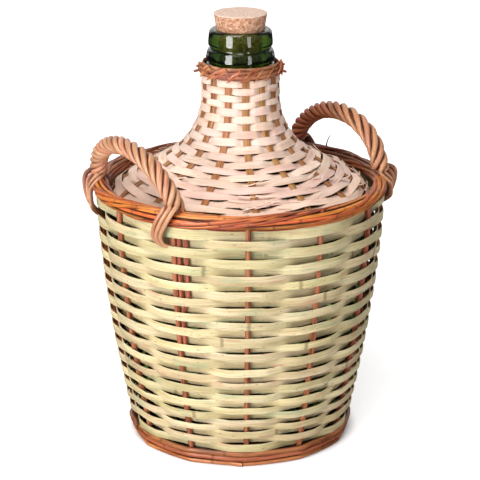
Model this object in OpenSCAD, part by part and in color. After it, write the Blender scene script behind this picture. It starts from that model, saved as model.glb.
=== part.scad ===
// Wicker demijohn: a green glass bottle with a tapered cork, woven into a basket of
// split cane on willow stakes, with a chip weave over its shoulder and two roped handles.
// The origin is on the bottle's axis at floor level, +Z is up, and the handles lie on the X axis.

/* [Bottle] */
// Height of the glass above the floor, at its lip
lip_z = 337; // [332:1:340]
// Radius of the bore at the mouth
bore_r = 19.5; // [18:0.5:20]
// Outer radius of the lip ring
lip_r = 25.6; // [24.5:0.1:26.5]
// Outer radius of the collar ring under the lip
collar_ring_r = 27.3; // [26.5:0.1:28]
// Thickness of the glass in the body
glass_wall = 3.2; // [2.5:0.1:4]
// Thickness of the glass in the neck
neck_wall = 4.6; // [4:0.1:6]
// Height of the pushed-up dome in the middle of the bottle's base
punt_h = 14; // [5:1:20]

/* [Cork] */
// Radius of the cork's top
cork_top_r = 21.3; // [20.5:0.1:22]
// Length of the cork
cork_len = 38; // [30:1:40]
// Height of the cork that stands above the lip
cork_proud = 13; // [11:1:15]
// Clearance round the cork at the lip
cork_gap = 0.3; // [0.3:0.1:0.5]

/* [Basket wall] */
// Radius of the circle of stakes at the foot
wall_foot_r = 87.2; // [86:0.2:88]
// Radius of the circle of stakes at the rim
wall_rim_r = 112.8; // [110:0.2:115]
// How strongly the wall bows outwards, 1 being straight
wall_bow = 1.6; // [1.2:0.1:1.8]
// Number of stakes, an even number
stake_count = 12; // [10:2:12]
// Radius of a willow stake
stake_r = 2.2; // [1.8:0.1:2.3]
// Number of rows of split cane
row_count = 30; // [24:2:30]
// Height of the lowest row, with its gap
row_low_h = 5.4; // [5:0.1:6]
// Thickness of a strip of split cane
cane_t = 1.4; // [1:0.1:1.5]

/* [Shoulder weave] */
// Number of upright ribs, an even number
rib_count = 14; // [12:2:14]
// Width of a rib
rib_w = 5.8; // [4:0.1:6]
// Number of rows of willow chip
chip_rows = 22; // [18:2:22]
// Width of the top row of chip, with its gap
chip_top_w = 5.5; // [4.5:0.1:6]
// Thickness of the chip
chip_t = 0.7; // [0.5:0.1:0.8]

/* [Borders] */
// Radius of a willow rod in the rim and foot borders
rod_r = 2.3; // [2:0.1:2.4]
// Number of rods stacked in each border
rods_high = 3; // [2:1:3]

/* [Handles] */
// Height of a handle's arch above the rim border
handle_rise = 43; // [38:1:50]
// How far an arch leans outwards, in degrees
handle_lean = 10; // [0:1:15]
// Number of rods roped round each handle
rope_strands = 5; // [4:1:5]
// Turns of the rope over one arch
rope_turns = 3.5; // [3:0.25:4.25]

/* [Hidden] */
rib_nodes = [for (i = [1 : rib_count]) str("shoulder_rib_", i < 10 ? "0" : "", i)];
stake_nodes = [for (i = [1 : stake_count]) str("wall_stake_", i < 10 ? "0" : "", i)];
$fn = 96;

// Heights that the pieces share
foot_z = 14;                        // top of the foot border, bottom of the cane wall
rim_z = 204;                        // bottom of the rim border, top of the cane wall
floor_flat = 0.4;                   // depth by which the foot is worn flat
rod_pitch = 2 * rod_r - 0.1;        // spacing of rods that are pressed on each other
rim_top_z = rim_z + 2 * rod_r + (rods_high - 1) * rod_pitch;
loose = 0.15;                       // air between neighbouring strips

// The stakes' circle at a height: a bucket that bows outwards
function wall_r(z) = wall_rim_r - (wall_rim_r - wall_foot_r)
    * pow(max(0, 1 - (z - foot_z) / (rim_z - foot_z)), wall_bow);

// The line of the ribs over neck and shoulder, by length from the top: straight neck,
// hollow curve, straight slope, and a round edge that turns down inside the rim
rib_top_z = 306;
neck_line_r = 30.5;
hollow_z = 285;                     // height where the neck starts to open
hollow_r = 60;                      // radius of the hollow curve
slope_turn = 60;                    // turn from upright to the slope, in degrees
slope_len = 39;
edge_r = 24;                        // radius of the round edge
neck_len = rib_top_z - hollow_z;
hollow_len = hollow_r * slope_turn * PI / 180;
edge_len = edge_r * slope_turn * PI / 180;
line_len = neck_len + hollow_len + slope_len + edge_len;
slope_a = [neck_line_r + hollow_r * (1 - cos(slope_turn)), hollow_z - hollow_r * sin(slope_turn)];
slope_b = slope_a + slope_len * [sin(slope_turn), -cos(slope_turn)];
edge_c = slope_b - edge_r * [cos(slope_turn), sin(slope_turn)];

// Angle by which the line has turned from upright at length s
function line_turn(s) = s < neck_len ? 0
    : s < neck_len + hollow_len ? (s - neck_len) / hollow_r * 180 / PI
    : s < neck_len + hollow_len + slope_len ? slope_turn
    : slope_turn - (s - neck_len - hollow_len - slope_len) / edge_r * 180 / PI;
function line_at(s) = s < neck_len ? [neck_line_r, rib_top_z - s]
    : s < neck_len + hollow_len ? [neck_line_r + hollow_r * (1 - cos(line_turn(s))),
        hollow_z - hollow_r * sin(line_turn(s))]
    : s < neck_len + hollow_len + slope_len
        ? slope_a + (s - neck_len - hollow_len) * [sin(slope_turn), -cos(slope_turn)]
    : edge_c + edge_r * [cos(line_turn(s)), sin(line_turn(s))];
// Direction square to the line, pointing outwards
function line_out(s) = [cos(line_turn(s)), sin(line_turn(s))];
// The line moved outwards by d
function line_off(s, d) = line_at(s) + d * line_out(s);

// A strip's path in and out of the uprights: 1 in front of one, -1 behind the next,
// flat where it passes them
function weave(a, count) = max(-1, min(1, 1.4 * cos(a * count / 2)));

function unit(v) = v / norm(v);
function along(p, i) = unit(p[min(i + 1, len(p) - 1)] - p[max(i - 1, 0)]);

// A round rod swept through 3-D points, with flat sides. side holds one vector for each
// point, which points away from the rod's own inner side, so that the rod doesn't twist.
module swept_rod(p, side, r, sides) {
    n = len(p);
    rings = [for (i = [0 : n - 1])
        let (t = along(p, i), e = unit(side[i] - (side[i] * t) * t), f = cross(t, e))
        for (k = [0 : sides - 1]) p[i] + r * (cos(360 * k / sides) * e + sin(360 * k / sides) * f)];
    walls = [for (i = [0 : n - 2]) for (k = [0 : sides - 1])
        let (a = i * sides + k, b = i * sides + (k + 1) % sides)
        each [[a, a + sides, b], [b, a + sides, b + sides]]];
    ends = concat([for (k = [1 : sides - 2]) [0, k, k + 1]],
        [for (k = [1 : sides - 2]) let (o = (n - 1) * sides) [o, o + k + 1, o + k]]);
    polyhedron(rings, concat(walls, ends));
}

// A rod bent in one upright plane through the axis, from points of [radius, height]
module bent_rod(p, r) {
    swept_rod([for (q = p) [q[0], 0, q[1]]], [for (q = p) [0, 1, 0]], r, 6);
}

// A closed ring of strip that weaves through the uprights on a round surface. a and b are
// the strip's edges as [radius, height], out is square to it, and steps is per upright.
module woven_ring(a, b, out, t, swing, count, steps, phase) {
    n = count * steps;
    ring = [for (i = [0 : n - 1]) let (q = 360 * i / n, w = phase * swing * weave(q, count))
        for (c = [a + (w - t / 2) * out, a + (w + t / 2) * out, b + (w + t / 2) * out,
            b + (w - t / 2) * out]) [c[0] * cos(q), c[0] * sin(q), c[1]]];
    polyhedron(ring, [for (i = [0 : n - 1]) for (k = [0 : 3])
        let (o = 4 * i, p = 4 * ((i + 1) % n), m = (k + 1) % 4)
        each [[o + k, o + m, p + k], [o + m, p + m, p + k]]]);
}

// Glass: outline of the outside from the heel up, and of the inside from the top down
heel_r = 12;
glass_z = 13;                       // height of the bottle's foot over the floor
basket_gap = 7.5;                   // from the stakes' circle to the glass
rib_gap = 2.1;                      // from the ribs' line to the glass
function glass_side(z) = wall_r(z) - basket_gap;
heel_x = glass_side(glass_z + heel_r) - heel_r;
side_z = [for (z = [glass_z + heel_r : 16 : 185]) z];
module glass_bottle() {
    dome_r = (heel_x * heel_x + punt_h * punt_h) / (2 * punt_h);
    dome = [for (i = [0 : 5]) let (x = heel_x * i / 6)
        [x, glass_z + punt_h - dome_r + sqrt(dome_r * dome_r - x * x)]];
    heel = [for (a = [-90 : 18 : 0]) [heel_x, glass_z + heel_r] + heel_r * [cos(a), sin(a)]];
    side = [for (z = side_z) [glass_side(z), z]];
    shoulder = [for (k = [0 : 14]) line_off(line_len - 6 - k * (line_len - 6) / 14, -rib_gap)];
    neck_r = neck_line_r - rib_gap;
    mouth = [[neck_r, 311], [collar_ring_r - 1.4, 311], [collar_ring_r, 313], [collar_ring_r, 316.5],
        [collar_ring_r - 1.6, 320.5], [24.3, 322], [24.3, 323.5], [lip_r - 0.4, 325.5], [lip_r, 327],
        [lip_r - 0.7, lip_z - 2.5], [lip_r - 2.2, lip_z - 0.6], [lip_r - 3.6, lip_z]];
    bore = [[bore_r + 0.6, lip_z], [bore_r, lip_z - 0.8], [bore_r, 314]];
    inner = [for (k = [0 : 12]) let (s = 12 + k * (line_len - 18) / 12)
        line_off(s, -rib_gap - neck_wall + (neck_wall - glass_wall) * k / 12)];
    inner_side = [for (i = [len(side_z) - 1 : -1 : 1]) [glass_side(side_z[i]) - glass_wall, side_z[i]]];
    floor_in = [for (a = [0 : -18 : -90])
        [heel_x, glass_z + heel_r] + (heel_r - glass_wall) * [cos(a), sin(a)]];
    dome_in = [for (i = [5 : -1 : 0]) dome[i] + [0, glass_wall + 0.6]];
    color("#2f4a1c") rotate_extrude()
        polygon(concat(dome, heel, [for (i = [1 : len(side) - 1]) side[i]], shoulder, mouth, bore,
            inner, inner_side, floor_in, dome_in));
}

module cork_stopper() {
    slope = (cork_top_r - bore_r + cork_gap) / cork_proud;
    bottom_r = cork_top_r - slope * cork_len;
    chamfer = 0.8;
    color("#d9a877") rotate_extrude()
        polygon([[0, lip_z + cork_proud - cork_len], [bottom_r, lip_z + cork_proud - cork_len],
            [cork_top_r - slope * chamfer, lip_z + cork_proud - chamfer],
            [cork_top_r - chamfer, lip_z + cork_proud], [0, lip_z + cork_proud]]);
}

// The ribs' upper ends are folded over and laced into a ragged band under the collar ring
module neck_collar() {
    band_z = 300.8;
    band_h = 8.2;
    inner = neck_line_r + 0.7;
    fold_w = 1.4;
    color("#b97442") union() {
        rotate_extrude() polygon([[inner, band_z], [inner + 1.1, band_z], [inner + 1.9, band_z + 2.2],
            [inner + 1.9, band_z + band_h - 2.2], [inner + 1.2, band_z + band_h], [inner, band_z + band_h]]);
        for (i = [0 : rib_count - 1]) rotate((i + 0.5) * 360 / rib_count)
            translate([inner + 1.7, 0, band_z + band_h / 2]) rotate([28, 0, 0])
                cube([fold_w, 14, 4], center = true);
    }
}

module shoulder_rib(i) {
    rib_t = 1;
    n = 34;
    outer = [for (k = [0 : n]) line_off(line_len * k / n, rib_t / 2)];
    inner = [for (k = [n : -1 : 0]) line_off(line_len * k / n, -rib_t / 2)];
    color("#b98252") rotate((i + 0.5) * 360 / rib_count) rotate([90, 0, 0])
        linear_extrude(rib_w, center = true) polygon(concat(outer, inner));
}

// Rows of chip get wider from the collar to the rim
chip_from = 5.4;
chip_low_w = 2 * (line_len - 3 - chip_from) / chip_rows - chip_top_w;
function chip_s(k) = chip_from + k * chip_top_w + (chip_low_w - chip_top_w) * k * (k - 1) / 2 / (chip_rows - 1);
module shoulder_weaver(start) {
    rise = 1.32;
    for (k = [start : 2 : chip_rows - 1]) {
        a = chip_s(k) + loose / 2;
        b = chip_s(k + 1) - loose / 2;
        color(k % 4 < 2 ? "#f0d9c0" : "#ebc9ae") rotate(180 / rib_count)
            woven_ring(line_at(b), line_at(a), line_out((a + b) / 2), chip_t, rise, rib_count, 3,
                k % 2 == 0 ? 1 : -1);
    }
}

// Rods laid on each other in two rings, with the stakes' ends held between them. The
// first rod lies at [radius, height] and each next one is moved by step.
rod_side = stake_r + rod_r + 0.1;   // from a stake's middle to a rod's middle
module rod_rings(first, step, side) {
    rotate_extrude() for (d = [-side, side], i = [0 : rods_high - 1])
        translate(first + [d, 0] + i * step) circle(rod_r, $fn = 32);
}
module rim_border() {
    color("#c8652f") rod_rings([wall_rim_r, rim_z + rod_r], [0, rod_pitch], rod_side);
}

// The stakes lean inwards at the foot, and its rods follow them
foot_low = [84.5, 3];
foot_lean = atan2(wall_foot_r - foot_low[0], foot_z - foot_low[1]);
module foot_border() {
    first_z = rod_r - floor_flat;
    color("#b4561f") difference() {
        rod_rings([foot_low[0] + (first_z - foot_low[1]) * tan(foot_lean), first_z],
            rod_pitch * [sin(foot_lean), cos(foot_lean)], rod_side / cos(foot_lean));
        translate([0, 0, -5]) cube([240, 240, 10], center = true);
    }
}

// Stakes come up through the foot border, follow the wall and end inside the rim border
module wall_stake(i) {
    a = i * 360 / stake_count;
    path = concat([foot_low], [for (z = [foot_z, 30, 50, 75, 105, 140, 175]) [wall_r(z), z]],
        [[wall_rim_r, rim_z], [wall_rim_r, rim_top_z - 1]]);
    color("#a85f45") rotate(a) bent_rod(path, stake_r);
}

// Rows of cane get taller from the foot to the rim
row_top_h = 2 * (rim_z - foot_z) / row_count - row_low_h;
function row_z(k) = foot_z + k * row_low_h + (row_top_h - row_low_h) * k * (k - 1) / 2 / (row_count - 1);
module wall_weaver(start) {
    swing = stake_r + cane_t / 2 + 0.2;
    steps = 4 * stake_count;
    function outline(r, phase) = [for (i = [0 : steps - 1]) let (q = 360 * i / steps)
        (r + phase * swing * weave(q, stake_count)) * [cos(q), sin(q)]];
    for (k = [start : 2 : row_count - 1]) {
        z = row_z(k) + loose / 2;
        h = row_z(k + 1) - row_z(k) - loose;
        r = wall_r(z + h / 2);
        phase = k % 2 == 0 ? 1 : -1;
        color(k % 4 < 2 ? "#e4d9a6" : "#d6cd98") translate([0, 0, z]) linear_extrude(h) difference() {
            polygon(outline(r + cane_t / 2, phase));
            polygon(outline(r - cane_t / 2, phase));
        }
    }
}

// Base: six sticks crossed in the middle, with rows of willow paired above and below them
base_z = 7.2;
base_r = foot_low[0] - stake_r - 2 * rod_r - 0.5;
base_stick_r = 1.7;
module base_sticks() {
    color("#8f4a32") for (i = [0 : 5]) rotate(i * 30) rotate([0, 90, 0])
        translate([-base_z, 0, -base_r]) cylinder(r = base_stick_r, h = 2 * base_r, $fn = 8);
}
module base_weaver() {
    strand_r = 1.6;
    pitch = 3;
    inner = 13;
    for (up = [-1, 1]) color("#b5764a") rotate_extrude() for (r = [inner : pitch : base_r - strand_r])
        translate([r, base_z + up * (base_stick_r + strand_r + 0.1)]) circle(strand_r, $fn = 24);
}

// Handles: a bow rod pushed down beside two stakes, and strands roped round its arch
bow_r = 1.9;
bow_shift = 2.4;                    // angle between a stake and the bow's leg beside it
handle_spread = 30 + bow_shift;     // angle of a leg from the X axis
leg_x = wall_rim_r * cos(handle_spread);
arch_half = wall_rim_r * sin(handle_spread);
arch_z = 213;
// Points of an arch: at angle u, at radius d from its centre line and angle q round it
function arch_point(u) = [leg_x + handle_rise * sin(u) * sin(handle_lean), arch_half * cos(u),
    arch_z + handle_rise * sin(u) * cos(handle_lean)];
function arch_way(u) = unit([handle_rise * cos(u) * sin(handle_lean), -arch_half * sin(u),
    handle_rise * cos(u) * cos(handle_lean)]);
arch_face = [cos(handle_lean), 0, -sin(handle_lean)];
function arch_side(u, q) = cos(q) * arch_face + sin(q) * cross(arch_way(u), arch_face);
function leg_point(z) = [wall_r(z) * cos(handle_spread), wall_r(z) * sin(handle_spread), z];

module handle_bow(turn) {
    leg = [for (z = [144, 165, 185, 203]) leg_point(z)];
    arch = [for (u = [0 : 9 : 180]) arch_point(u)];
    back = [for (i = [3 : -1 : 0]) [leg[i][0], -leg[i][1], leg[i][2]]];
    p = concat(leg, arch, back);
    color("#8b3f22") rotate(turn) swept_rod(p, [for (q = p) arch_face], bow_r, 6);
}
// Where the outer strands leave the rope at a foot: points of [radius, height, angle towards
// the handle's middle], over the border, down its outside and into the wall below it
strand_r = 1.9;                     // radius of a strand
rope_out = wall_rim_r + stake_r + 2 * rod_r + strand_r;
tail_points = [[rope_out - 1.6, 222, 1.5], [rope_out + 2.2, 216.5, 2.6], [rope_out + 2.2, 207.5, 5],
    [rope_out + 0.6, 198.5, 7], [wall_rim_r + 2 * stake_r + cane_t + 0.8, 190.5, 6.6]];
function tail(side, i) = [for (t = tail_points) let (a = side * (handle_spread - t[2] + i * 3))
    [t[0] * cos(a), t[0] * sin(a), t[1]]];
function flipped(p) = [for (i = [len(p) - 1 : -1 : 0]) p[i]];

module handle_rope(turn) {
    lay_r = 4.7;                    // from the bow's middle to a strand's middle
    from = 12;                      // where the rope starts and ends on the arch, in degrees
    n = ceil(9 * rope_turns);
    for (j = [0 : rope_strands - 1]) {
        u = [for (i = [0 : n]) from + (180 - 2 * from) * i / n];
        q = [for (i = [0 : n]) 360 * (j / rope_strands + rope_turns * i / n)];
        p = [for (i = [0 : n]) arch_point(u[i]) + lay_r * arch_side(u[i], q[i])];
        // Place of the strand's ends in the fan of three that pass outside the border
        first = round(rope_strands * (q[0] > 180 ? q[0] - 360 : q[0]) / 360);
        turned = q[n] - 360 * floor(q[n] / 360 + 0.5);
        last = floor(rope_strands * turned / 360);
        before = abs(first) <= 1 ? flipped(tail(1, first)) : [];
        after = abs(last) <= 1 ? tail(-1, last) : [];
        whole = concat(before, p, after);
        face = concat([for (t = before) arch_side(u[0], q[0])], [for (i = [0 : n]) arch_side(u[i], q[i])],
            [for (t = after) arch_side(u[n], q[n])]);
        color(j % 2 == 0 ? "#b9693f" : "#c98560") rotate(turn) swept_rod(whole, face, strand_r, 6);
    }
}

// Rods of the rope that go down through the border beside the bow's legs
module handle_tails(turn) {
    tail_shift = 3;                 // angle between a bow's leg and the rod beside it
    for (side = [-1, 1]) color("#a5573a") rotate(turn + side * (handle_spread + tail_shift))
        bent_rod([for (z = [104, 130, 160, 190, rim_top_z - 2]) [wall_r(z), z]], bow_r);
}

glass_bottle();
cork_stopper();
neck_collar();
for (i = [0 : rib_count - 1]) shoulder_rib(i);
shoulder_weaver(0);  // shoulder_weaver_a
shoulder_weaver(1);  // shoulder_weaver_b
rim_border();
for (i = [0 : stake_count - 1]) wall_stake(i);
wall_weaver(0);  // wall_weaver_a
wall_weaver(1);  // wall_weaver_b
foot_border();
base_sticks();
base_weaver();
handle_bow(180);  // handle_bow_left
handle_bow(0);  // handle_bow_right
handle_rope(180);  // handle_rope_left
handle_rope(0);  // handle_rope_right
handle_tails(180);  // handle_tails_left
handle_tails(0);  // handle_tails_right
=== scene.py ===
import math
import random
import bmesh
import bpy
from mathutils import Matrix, Vector, noise


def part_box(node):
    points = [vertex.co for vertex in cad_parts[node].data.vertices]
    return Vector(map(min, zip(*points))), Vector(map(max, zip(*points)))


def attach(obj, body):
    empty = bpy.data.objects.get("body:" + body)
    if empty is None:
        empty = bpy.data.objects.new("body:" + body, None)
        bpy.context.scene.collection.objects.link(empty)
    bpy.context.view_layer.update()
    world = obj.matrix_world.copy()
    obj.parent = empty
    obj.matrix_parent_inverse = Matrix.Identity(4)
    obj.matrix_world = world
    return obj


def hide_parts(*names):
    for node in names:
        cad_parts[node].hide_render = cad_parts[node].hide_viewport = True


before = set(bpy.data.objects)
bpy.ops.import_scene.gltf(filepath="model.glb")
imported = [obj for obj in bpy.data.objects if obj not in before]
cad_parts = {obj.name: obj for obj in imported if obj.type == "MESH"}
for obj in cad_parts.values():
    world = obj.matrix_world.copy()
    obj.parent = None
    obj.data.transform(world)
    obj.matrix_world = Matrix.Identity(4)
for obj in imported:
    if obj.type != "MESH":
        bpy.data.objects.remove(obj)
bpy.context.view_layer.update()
basketBody = "basket_and_bottle"
corkBody = "cork"
metresPerMm = 0.001  # pieces are worked out in millimetres and scaled when they are finished

# The camera that took the photograph, in metres
cameraView = {
    "place": (-0.8426, -1.2974, 0.6640),
    "target": (0.0, 0.0, 0.1612),
    "lens": 149.36,
    "sensor": 36.0,
    "shiftX": -0.00102,
}

# The soft lights. The two tall panels stand on the floor and only show in what mirrors them: they
# are the two upright highlights of the bottle's mouth.
studio = {
    "floorSize": 16.0,
    "floorGlow": 0.62,
    # where the floor's glow starts and where it is full, in metres from the axis; the band just round the foot is
    # painted contact shadow
    "glowFrom": (0.084, 0.1),
    "worldStrength": 0.36,
    "mirroredWorld": 0.22,
    # azimuth, distance and height from the floor of the lamp's lower edge, its width and height, power
    "panels": {
        "keyPanel": (-73.0, 1.2, 0.005, 0.48, 1.05, 21.0),
        "frontPanel": (-2.0, 1.4, 0.005, 0.3, 1.05, 6.0),
        "backPanel": (147.0, 1.5, 0.1, 2.6, 2.4, 17.0),  # shows in what faces up
    },
    "sideSoftBox": (-68.0, 1.2, 0.05, 0.6, 0.4, 7.7),
    "topPlace": (-0.95, -0.75, 2.1),
    "topSize": 1.3,
    "topPower": 36.5,
}

# The wall: split cane round twelve stakes, wider and steeper towards the rim
wall = {
    "stakes": 12,
    "stakeRadius": 2.2,
    "rows": 30,
    "rowLow": 5.4,
    "thick": 1.3,
    "fill": 1.1,
    "spreadBehind": 0.16,
    "swing": 3.05,
    "footZ": 14.0,
    "rimZ": 204.0,
    "footRadius": 87.2,
    "rimRadius": 112.8,
    "bow": 1.6,
    "lap": 8.0,
    "openLaps": 0.12,
    "steps": 190,
}

# The line of the ribs over neck and shoulder, by length from the top
ribLine = {
    "topZ": 306.0,
    "neckRadius": 30.5,
    "hollowZ": 285.0,
    "hollowRadius": 60.0,
    "slopeTurn": 60.0,
    "slopeLength": 39.0,
    "edgeRadius": 24.0,
}


def makeCamera(view):
    data = bpy.data.cameras.new("photoCamera")
    data.lens = view["lens"]
    data.sensor_width = view["sensor"]
    data.shift_x = view["shiftX"]
    data.dof.use_dof = False
    camera = bpy.data.objects.new("photoCamera", data)
    bpy.context.scene.collection.objects.link(camera)
    camera.location = view["place"]
    direction = Vector(view["target"]) - Vector(view["place"])
    camera.rotation_euler = direction.to_track_quat("-Z", "Y").to_euler()
    bpy.context.scene.camera = camera


def toLinear(hexText):
    channels = [int(hexText[i:i + 2], 16) / 255 for i in (0, 2, 4)]
    linear = [c / 12.92 if c <= 0.04045 else ((c + 0.055) / 1.055) ** 2.4 for c in channels]
    return (*linear, 1.0)


# Adds a node with its settings; an input is a plain value or another node's output
def addNode(tree, kind, settings=None, inputs=None):
    node = tree.nodes.new(kind)
    for name, value in (settings or {}).items():
        setattr(node, name, value)
    for name, value in (inputs or {}).items():
        if isinstance(value, bpy.types.NodeSocket):
            tree.links.new(value, node.inputs[name])
        else:
            node.inputs[name].default_value = value
    return node


# Fills a colour ramp with hex colours at even steps, or at the places given
def setRamp(node, colours, places=None):
    ramp = node.color_ramp
    places = places or [i / (len(colours) - 1) for i in range(len(colours))]
    while len(ramp.elements) < len(colours):
        ramp.elements.new(0.5)
    for element, colour, place in zip(ramp.elements, colours, places):
        element.position = place
        element.color = toLinear(colour)
    return node.outputs["Color"]


def startMaterial(name):
    material = bpy.data.materials.new(name)
    material.use_nodes = True
    tree = material.node_tree
    return material, tree, tree.nodes["Principled BSDF"]


# The strand's own place in millimetres, x along it and y and z across it, moved by its tint
# so that no two strands show the same stretch of the pattern
def strandPlace(tree):
    grain = addNode(tree, "ShaderNodeAttribute", {"attribute_name": "grain"})
    tint = addNode(tree, "ShaderNodeAttribute", {"attribute_name": "tint"})
    moved = addNode(tree, "ShaderNodeVectorMath", {"operation": "MULTIPLY_ADD"},
                    {0: tint.outputs["Vector"], 1: (3700.0, 410.0, 290.0), 2: grain.outputs["Vector"]})
    return moved.outputs["Vector"], tint.outputs["Fac"]


# Noise drawn out along the strand: its patches are length mm long and across mm wide
def strandNoise(tree, place, length, across, detail=2.0, rough=0.5):
    stretched = addNode(tree, "ShaderNodeVectorMath", {"operation": "MULTIPLY"},
                        {0: place, 1: (1 / length, 1 / across, 1 / across)})
    return addNode(tree, "ShaderNodeTexNoise", {"noise_dimensions": "3D"},
                   {"Vector": stretched.outputs["Vector"], "Scale": 1.0, "Detail": detail,
                    "Roughness": rough}).outputs["Fac"]


# Mixes a colour in where a mask is high, from the mask's low value to its high value
def blotch(tree, base, colour, mask, low, high, strength):
    share = addNode(tree, "ShaderNodeMapRange", {"interpolation_type": "SMOOTHSTEP"},
                    {"Value": mask, "From Min": low, "From Max": high, "To Min": 0.0, "To Max": strength})
    mixed = addNode(tree, "ShaderNodeMix", {"data_type": "RGBA"},
                    {0: share.outputs["Result"], 6: base, 7: toLinear(colour)})
    return mixed.outputs[2]


# Split willow or cane, or a rod in its bark: colour patches, fibres, and each strand a little
# lighter or darker than the next
def plantMaterial(name, look):
    material, tree, shader = startMaterial(name)
    place, tint = strandPlace(tree)
    patches = strandNoise(tree, place, look["patch"][0], look["patch"][1], 3.0)
    colour = setRamp(addNode(tree, "ShaderNodeValToRGB", None, {"Fac": patches}),
                     look["colours"], look.get("places"))
    if "paintedSideLight" in look:
        # painted light and shade: another colour, paler or darker, mixed in on the side of the basket that lies in a
        # direction
        hexText, direction, low, high, strength = look["paintedSideLight"]
        object = addNode(tree, "ShaderNodeTexCoord").outputs["Object"]
        reach = addNode(tree, "ShaderNodeVectorMath", {"operation": "DOT_PRODUCT"},
                        {0: object, 1: direction})
        colour = blotch(tree, colour, hexText, reach.outputs["Value"], low, high, strength)
    for hexText, length, across, low, high, strength in look["blotches"]:
        mask = strandNoise(tree, place, length, across)
        colour = blotch(tree, colour, hexText, mask, low, high, strength)
    if "hollow" in look:
        # painted shade: darker where the strand turns away from the outside of its bundle, into the hollows between
        # strands
        grain = addNode(tree, "ShaderNodeAttribute", {"attribute_name": "grain"})
        outside = addNode(tree, "ShaderNodeSeparateXYZ", None, {"Vector": grain.outputs["Vector"]}).outputs["Y"]
        colour = blotch(tree, colour, look["hollow"][0], outside, look["hollow"][1], look["hollow"][2],
                        look["hollow"][3])
    fibres = strandNoise(tree, place, look["fibre"][0], look["fibre"][1], 3.0, 0.6)
    value = addNode(tree, "ShaderNodeMapRange", None,
                    {"Value": tint, "To Min": 1 - look["tintSpread"], "To Max": 1 + look["tintSpread"]})
    fibreShade = addNode(tree, "ShaderNodeMapRange", None,
                         {"Value": fibres, "From Min": 0.3, "From Max": 0.7,
                          "To Min": 1 - look["fibreShade"], "To Max": 1 + 0.4 * look["fibreShade"]})
    both = addNode(tree, "ShaderNodeMath", {"operation": "MULTIPLY"},
                   {0: value.outputs["Result"], 1: fibreShade.outputs["Result"]})
    hue = addNode(tree, "ShaderNodeMath", {"operation": "PINGPONG"}, {0: tint, 1: 0.13})
    hueShift = addNode(tree, "ShaderNodeMapRange", None,
                       {"Value": hue.outputs["Value"], "From Max": 0.13,
                        "To Min": 0.5 - look["hueSpread"], "To Max": 0.5 + look["hueSpread"]})
    toned = addNode(tree, "ShaderNodeHueSaturation", None,
                    {"Hue": hueShift.outputs["Result"], "Value": both.outputs["Value"], "Color": colour})
    colour = toned.outputs["Color"]
    if "knot" in look:
        colour, height = knots(tree, colour, place, fibres, look["knot"])
    else:
        height = fibres
    tree.links.new(colour, shader.inputs["Base Color"])
    rough = addNode(tree, "ShaderNodeMapRange", None,
                    {"Value": patches, "To Min": look["rough"] - 0.08, "To Max": look["rough"] + 0.1})
    tree.links.new(rough.outputs["Result"], shader.inputs["Roughness"])
    bump = addNode(tree, "ShaderNodeBump", None,
                   {"Strength": look["bump"], "Distance": look["depth"], "Height": height})
    tree.links.new(bump.outputs["Normal"], shader.inputs["Normal"])
    shader.inputs["Specular IOR Level"].default_value = look["shine"]
    return material


# Knots across the strand at uneven steps: a dark band with a ridge
def knots(tree, colour, place, fibres, look):
    split = addNode(tree, "ShaderNodeSeparateXYZ", None, {"Vector": place})
    ragged = addNode(tree, "ShaderNodeMath", {"operation": "MULTIPLY_ADD"},
                     {0: fibres, 1: look["ragged"], 2: split.outputs["X"]})
    along = addNode(tree, "ShaderNodeMath", {"operation": "DIVIDE"},
                    {0: ragged.outputs["Value"], 1: look["step"]})
    cells = addNode(tree, "ShaderNodeTexVoronoi", {"voronoi_dimensions": "1D"},
                    {"W": along.outputs["Value"], "Scale": 1.0, "Randomness": 0.9})
    band = addNode(tree, "ShaderNodeMapRange", {"interpolation_type": "SMOOTHSTEP"},
                   {"Value": cells.outputs["Distance"], "From Min": look["wide"] / look["step"],
                    "From Max": 0.3 * look["wide"] / look["step"], "To Min": 0.0, "To Max": 1.0})
    share = addNode(tree, "ShaderNodeMath", {"operation": "MULTIPLY"},
                    {0: band.outputs["Result"], 1: look["strength"]})
    mixed = addNode(tree, "ShaderNodeMix", {"data_type": "RGBA"},
                    {0: share.outputs["Value"], 6: colour, 7: toLinear(look["colour"])})
    height = addNode(tree, "ShaderNodeMath", {"operation": "MULTIPLY_ADD"},
                     {0: band.outputs["Result"], 1: look["ridge"], 2: fibres})
    return mixed.outputs[2], height.outputs["Value"]


# Split cane with its skin on: pale straw with a green cast, satin, with a brown joint here and there
def caneSkin():
    return plantMaterial("splitCaneSkin", {
        "patch": (70.0, 7.0), "colours": ["c9b484", "dfcb9a", "efdcb2", "e6d2a8"],
        "places": [0.25, 0.45, 0.62, 0.8],
        "blotches": [("b3bd92", 38.0, 8.0, 0.57, 0.7, 0.55), ("dda183", 22.0, 3.0, 0.62, 0.73, 0.6),
                     ("b59a66", 26.0, 0.7, 0.58, 0.7, 0.55), ("7a6540", 5.0, 1.2, 0.64, 0.74, 0.65)],
        "fibre": (30.0, 0.4), "fibreShade": 0.24, "tintSpread": 0.11, "hueSpread": 0.012,
        "rough": 0.45, "bump": 0.35, "depth": 0.0004, "shine": 0.33,
        # painted shade on the cane's inner face, which is turned to the dark inside of the basket
        "hollow": ("594425", 0.0, -0.5, 0.8),
        "knot": {"step": 460.0, "wide": 2.2, "ragged": 5.0, "strength": 0.6, "ridge": 1.4,
                 "colour": "7d6038"},
    })


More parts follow.
